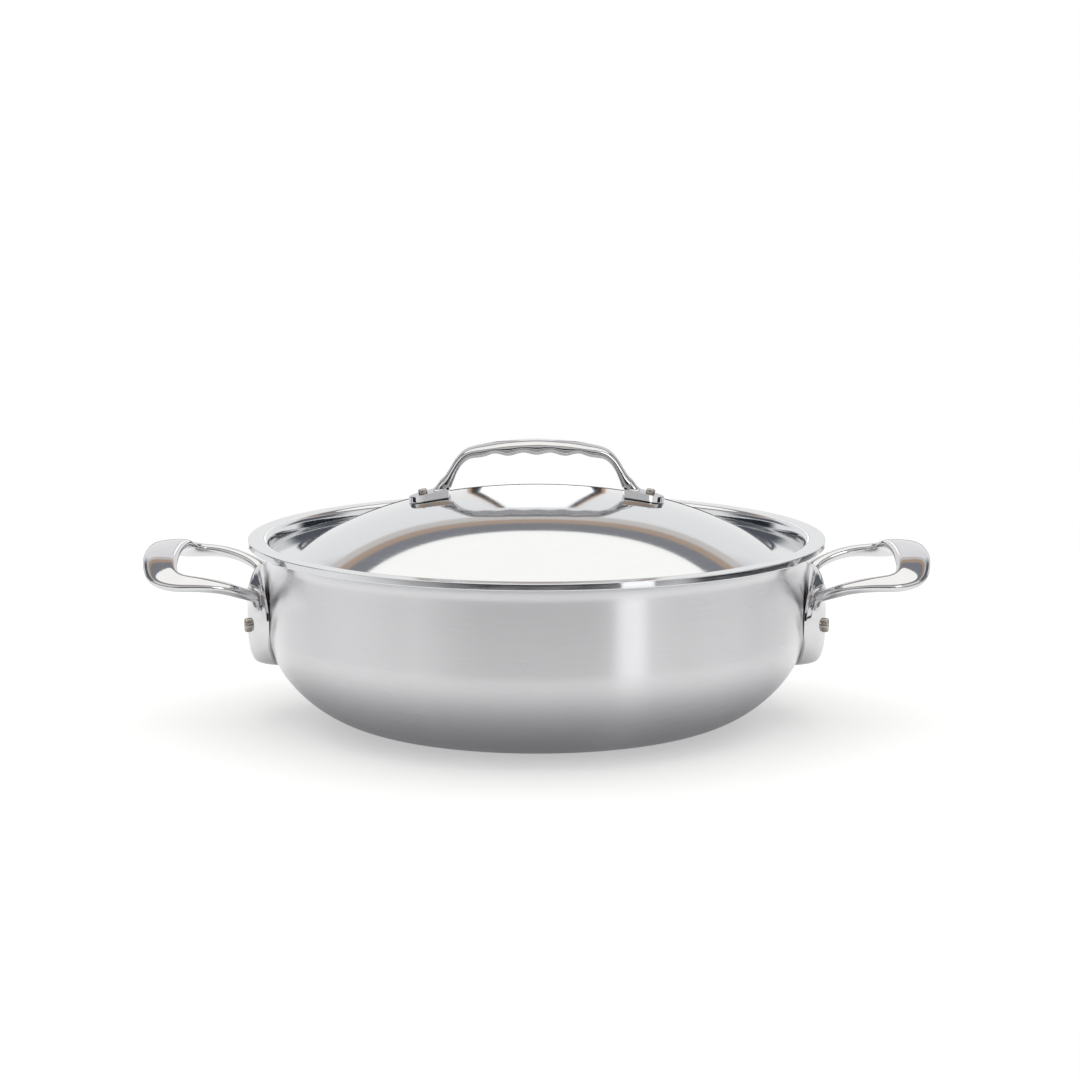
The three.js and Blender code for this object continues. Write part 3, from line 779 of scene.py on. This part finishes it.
def makeFloor():
    material, tree = newMaterial("matt_white_paper")  # soft, even and without gloss
    fade = distanceFade(tree, *studio["floorFade"])
    seen = seenRays(tree)
    plain = addNode(tree, "ShaderNodeMath", {0: fade, 1: seen}, operation="MULTIPLY").outputs[0]
    lift = addNode(tree, "ShaderNodeMath", {0: seen, 1: studio["floorGlow"]},
                   operation="MULTIPLY").outputs[0]
    paper = addNode(tree, "ShaderNodeBsdfDiffuse", {"Color": colourOf(studio["floorColour"])})
    glow = addNode(tree, "ShaderNodeEmission", {"Strength": lift})
    lit = addNode(tree, "ShaderNodeAddShader", {0: paper.outputs[0], 1: glow.outputs[0]})
    white = addNode(tree, "ShaderNodeEmission", {"Strength": 1.0})
    sheet = addNode(tree, "ShaderNodeMixShader", {0: plain, 1: lit.outputs[0], 2: white.outputs[0]})
    addNode(tree, "ShaderNodeOutputMaterial", {"Surface": sheet.outputs[0]})
    bm = bmesh.new()
    bmesh.ops.create_circle(bm, cap_ends=True, segments=64, radius=studio["floorRadius"])
    bmesh.ops.translate(bm, vec=(0, 0, studio["floorLevel"]), verts=bm.verts)
    addStage(bm, "floor", material)


def glowMaterial(name, colour, strength):
    material, tree = newMaterial(name)
    glow = addNode(tree, "ShaderNodeEmission", {"Color": colourOf(colour), "Strength": strength})
    addNode(tree, "ShaderNodeOutputMaterial", {"Surface": glow.outputs[0]})
    return material


def addCard(bm, name, material):  # a card that shows only in polished metal
    card = addStage(bm, name, material)
    card.visible_camera = False
    card.visible_diffuse = False
    card.visible_shadow = False
    card.visible_transmission = False


def boxOval(bm, half, filled):  # an oval in the softbox's plane, and its edges
    ring = bmesh.ops.create_circle(bm, cap_ends=filled, segments=96, radius=1)["verts"]
    bmesh.ops.scale(bm, vec=(*half, 1), verts=ring)
    bmesh.ops.translate(bm, vec=(0, studio["boxMiddle"], studio["boxCards"]), verts=ring)
    return list({e for v in ring for e in v.link_edges})


def makeSoftbox():
    data = bpy.data.lights.new("softbox", "AREA")
    data.shape = "ELLIPSE"
    data.size, data.size_y = studio["boxSize"]
    data.energy = studio["boxPower"]
    box = bpy.data.objects.new("softbox", data)
    box.location = (0, studio["boxMiddle"], studio["boxHeight"])
    box.visible_camera = False
    box.visible_glossy = False
    bpy.context.scene.collection.objects.link(box)
    half = Vector(studio["boxSize"]) / 2
    bm = bmesh.new()
    boxOval(bm, half, True)
    addCard(bm, "softbox_face", glowMaterial("softbox_face", "#fffefa", studio["boxGlow"]))
    for i, (widths, colour) in enumerate(studio["rings"]):
        bm = bmesh.new()
        inner = boxOval(bm, half, False)
        half = half + Vector(widths)
        bridgeRings(bm, [inner, boxOval(bm, half, False)])
        addCard(bm, f"softbox_ring_{i}", glowMaterial(f"softbox_ring_{i}", colour, 1.0))


def makeBackPanel():
    heights, halves = studio["panelHeights"], studio["panelHalves"]
    dark, warm = studio["panelEdges"]

    def panelPoint(share, row):  # shares past 1 lie in the edges
        past = dark if share == 2 else dark + warm if share == 3 else 0
        return Vector((min(share, 1) * halves[row] + past, studio["panelDepth"], heights[row]))

    rows = range(len(heights))
    for name, shares, colour, strength in studio["panelCards"]:
        glow = glowMaterial(f"panel_{name}", colour, strength)
        for side in (-1, 1):
            bm = bmesh.new()
            cageGrid(bm, shares, rows, panelPoint)
            bmesh.ops.scale(bm, vec=(side, 1, 1), verts=bm.verts)
            addCard(bm, f"back_panel_{name}_{side}", glow)


def roundPoint(angle, radius, height):  # angle from straight ahead of the pan, toward its right
    turn = math.radians(angle)
    return Vector((radius * math.sin(turn), -radius * math.cos(turn), height))


def finishVeil(tree, share, colour):  # clear where the share is 0, and that colour where it is 1
    clear = addNode(tree, "ShaderNodeBsdfTransparent")
    shade = addNode(tree, "ShaderNodeEmission", {"Color": colourOf(colour), "Strength": 1.0})
    soft = addNode(tree, "ShaderNodeMixShader", {0: share, 1: clear.outputs[0], 2: shade.outputs[0]})
    addNode(tree, "ShaderNodeOutputMaterial", {"Surface": soft.outputs[0]})


def screenMaterial(name, colour, middle, fades):  # fades out toward its sides
    material, tree = newMaterial(name)
    place = addNode(tree, "ShaderNodeTexCoord").outputs["Object"]
    axes = addNode(tree, "ShaderNodeSeparateXYZ", {0: place}).outputs
    ahead = addNode(tree, "ShaderNodeMath", {0: axes["Y"], 1: -1.0}, operation="MULTIPLY").outputs[0]
    turn = addNode(tree, "ShaderNodeMath", {0: axes["X"], 1: ahead}, operation="ARCTAN2").outputs[0]
    either = addNode(tree, "ShaderNodeMath", {0: turn}, operation="ABSOLUTE").outputs[0]
    past = addNode(tree, "ShaderNodeMath", {0: either, 1: math.radians(middle)},
                   operation="SUBTRACT").outputs[0]
    aside = addNode(tree, "ShaderNodeMath", {0: past}, operation="ABSOLUTE").outputs[0]
    share = addNode(tree, "ShaderNodeMapRange", {"Value": aside, "From Min": math.radians(fades[0]),
                                                 "From Max": math.radians(fades[1])},
                    interpolation_type="SMOOTHSTEP").outputs[0]
    finishVeil(tree, share, colour)
    return material


def addArc(name, material, angles, rows, place):  # a card that curves round the pan
    bm = bmesh.new()
    steps = 24
    cageGrid(bm, [mix(*angles, step / steps) for step in range(steps + 1)], rows, place)
    addCard(bm, name, material)


def makeRoom():
    fades, low = studio["roomFades"], studio["groundHeight"]
    angles = (-fades[0], fades[0])
    wall = screenMaterial("room_wall", studio["roomShade"], 0, fades)
    ground = screenMaterial("room_ground", studio["groundShade"], 0, fades)
    addArc("room_wall", wall, angles, (low, studio["roomHeight"]),
           lambda u, v: roundPoint(u, studio["roomRadius"], v))
    addArc("room_skirting", ground, angles, (0, low),
           lambda u, v: roundPoint(u, studio["roomRadius"], v))
    addArc("room_floor", ground, angles, (studio["tableEdge"], studio["roomRadius"]),
           lambda u, v: roundPoint(u, v, studio["groundLevel"]))


def makeWindow():
    window = glowMaterial("window", "#ffffff", studio["windowGlow"])
    addArc("window", window, studio["windowAngles"], studio["windowHeights"],
           lambda u, v: roundPoint(u, studio["windowRadius"], v))
    patch = glowMaterial("window_patch", "#ffffff", studio["patchGlow"])
    addArc("window_patch", patch, studio["patchAngles"], studio["patchRadii"],
           lambda u, v: roundPoint(u, v, studio["patchLevel"]))


def makeDarkCards():
    middle, fades = studio["stripMiddle"], studio["stripFades"]
    strip = screenMaterial("table_strip", studio["stripShade"], middle, fades)
    addArc("table_strip", strip, (middle - fades[0], middle + fades[0]), studio["stripRadii"],
           lambda u, v: roundPoint(u, v, studio["patchLevel"]))
    for kind in ("side", "corner"):
        middle, fades = studio[f"{kind}Middle"], studio[f"{kind}Fades"]
        screen = screenMaterial(f"{kind}_screen", studio[f"{kind}Shade"], middle, fades)
        for side in (-1, 1):
            angles = (side * (middle - fades[0]), side * (middle + fades[0]))
            addArc(f"{kind}_screen_{side}", screen, angles, studio[f"{kind}Heights"],
                   lambda u, v: roundPoint(u, studio[f"{kind}Radius"], v))
    bm = bmesh.new()
    cageGrid(bm, (-studio["backHalf"], studio["backHalf"]), studio["backFloor"],
             lambda u, v: Vector((u, v, studio["backLevel"])))
    addCard(bm, "back_floor", glowMaterial("back_floor", studio["backShade"], 1.0))


# A painted shadow of the pan on the table round its base: a dark veil that only the steel sees
def makePaintedContactShadow():
    material, tree = newMaterial("painted_contact_shadow")
    inner, outer = studio["contactRadii"]
    finishVeil(tree, distanceFade(tree, outer, inner), studio["contactShade"])
    bm = bmesh.new()
    bmesh.ops.create_circle(bm, cap_ends=True, segments=96, radius=outer)
    bmesh.ops.translate(bm, vec=(0, 0, studio["contactLevel"]), verts=bm.verts)
    addCard(bm, "painted_contact_shadow", material)


placeCamera()
makePan()
makeLid()
makeLidHandle()
for side, turn in (("right", 0), ("left", math.pi)):
    makeSideHandle(f"{side}_loop_handle", f"{side}_handle", turn)
    swing = math.asin(handleRivet["spacing"] / 2 / wallRadiusAt(handleRivet["height"]))
    for place, angle in (("front", -swing), ("back", swing)):
        makeHandleRivet(f"{side}_rivet_{place}", f"{side}_handle_rivet_{place}", turn + angle)
    makeLidRivet(f"{side}_lid_rivet", f"lid_rivet_{side}", turn)
makeWorld()
makeFloor()
makeSoftbox()
makeBackPanel()
makeRoom()
makeWindow()
makeDarkCards()
makePaintedContactShadow()
bpy.context.scene.view_settings.view_transform = "Standard"
print("studio lit")
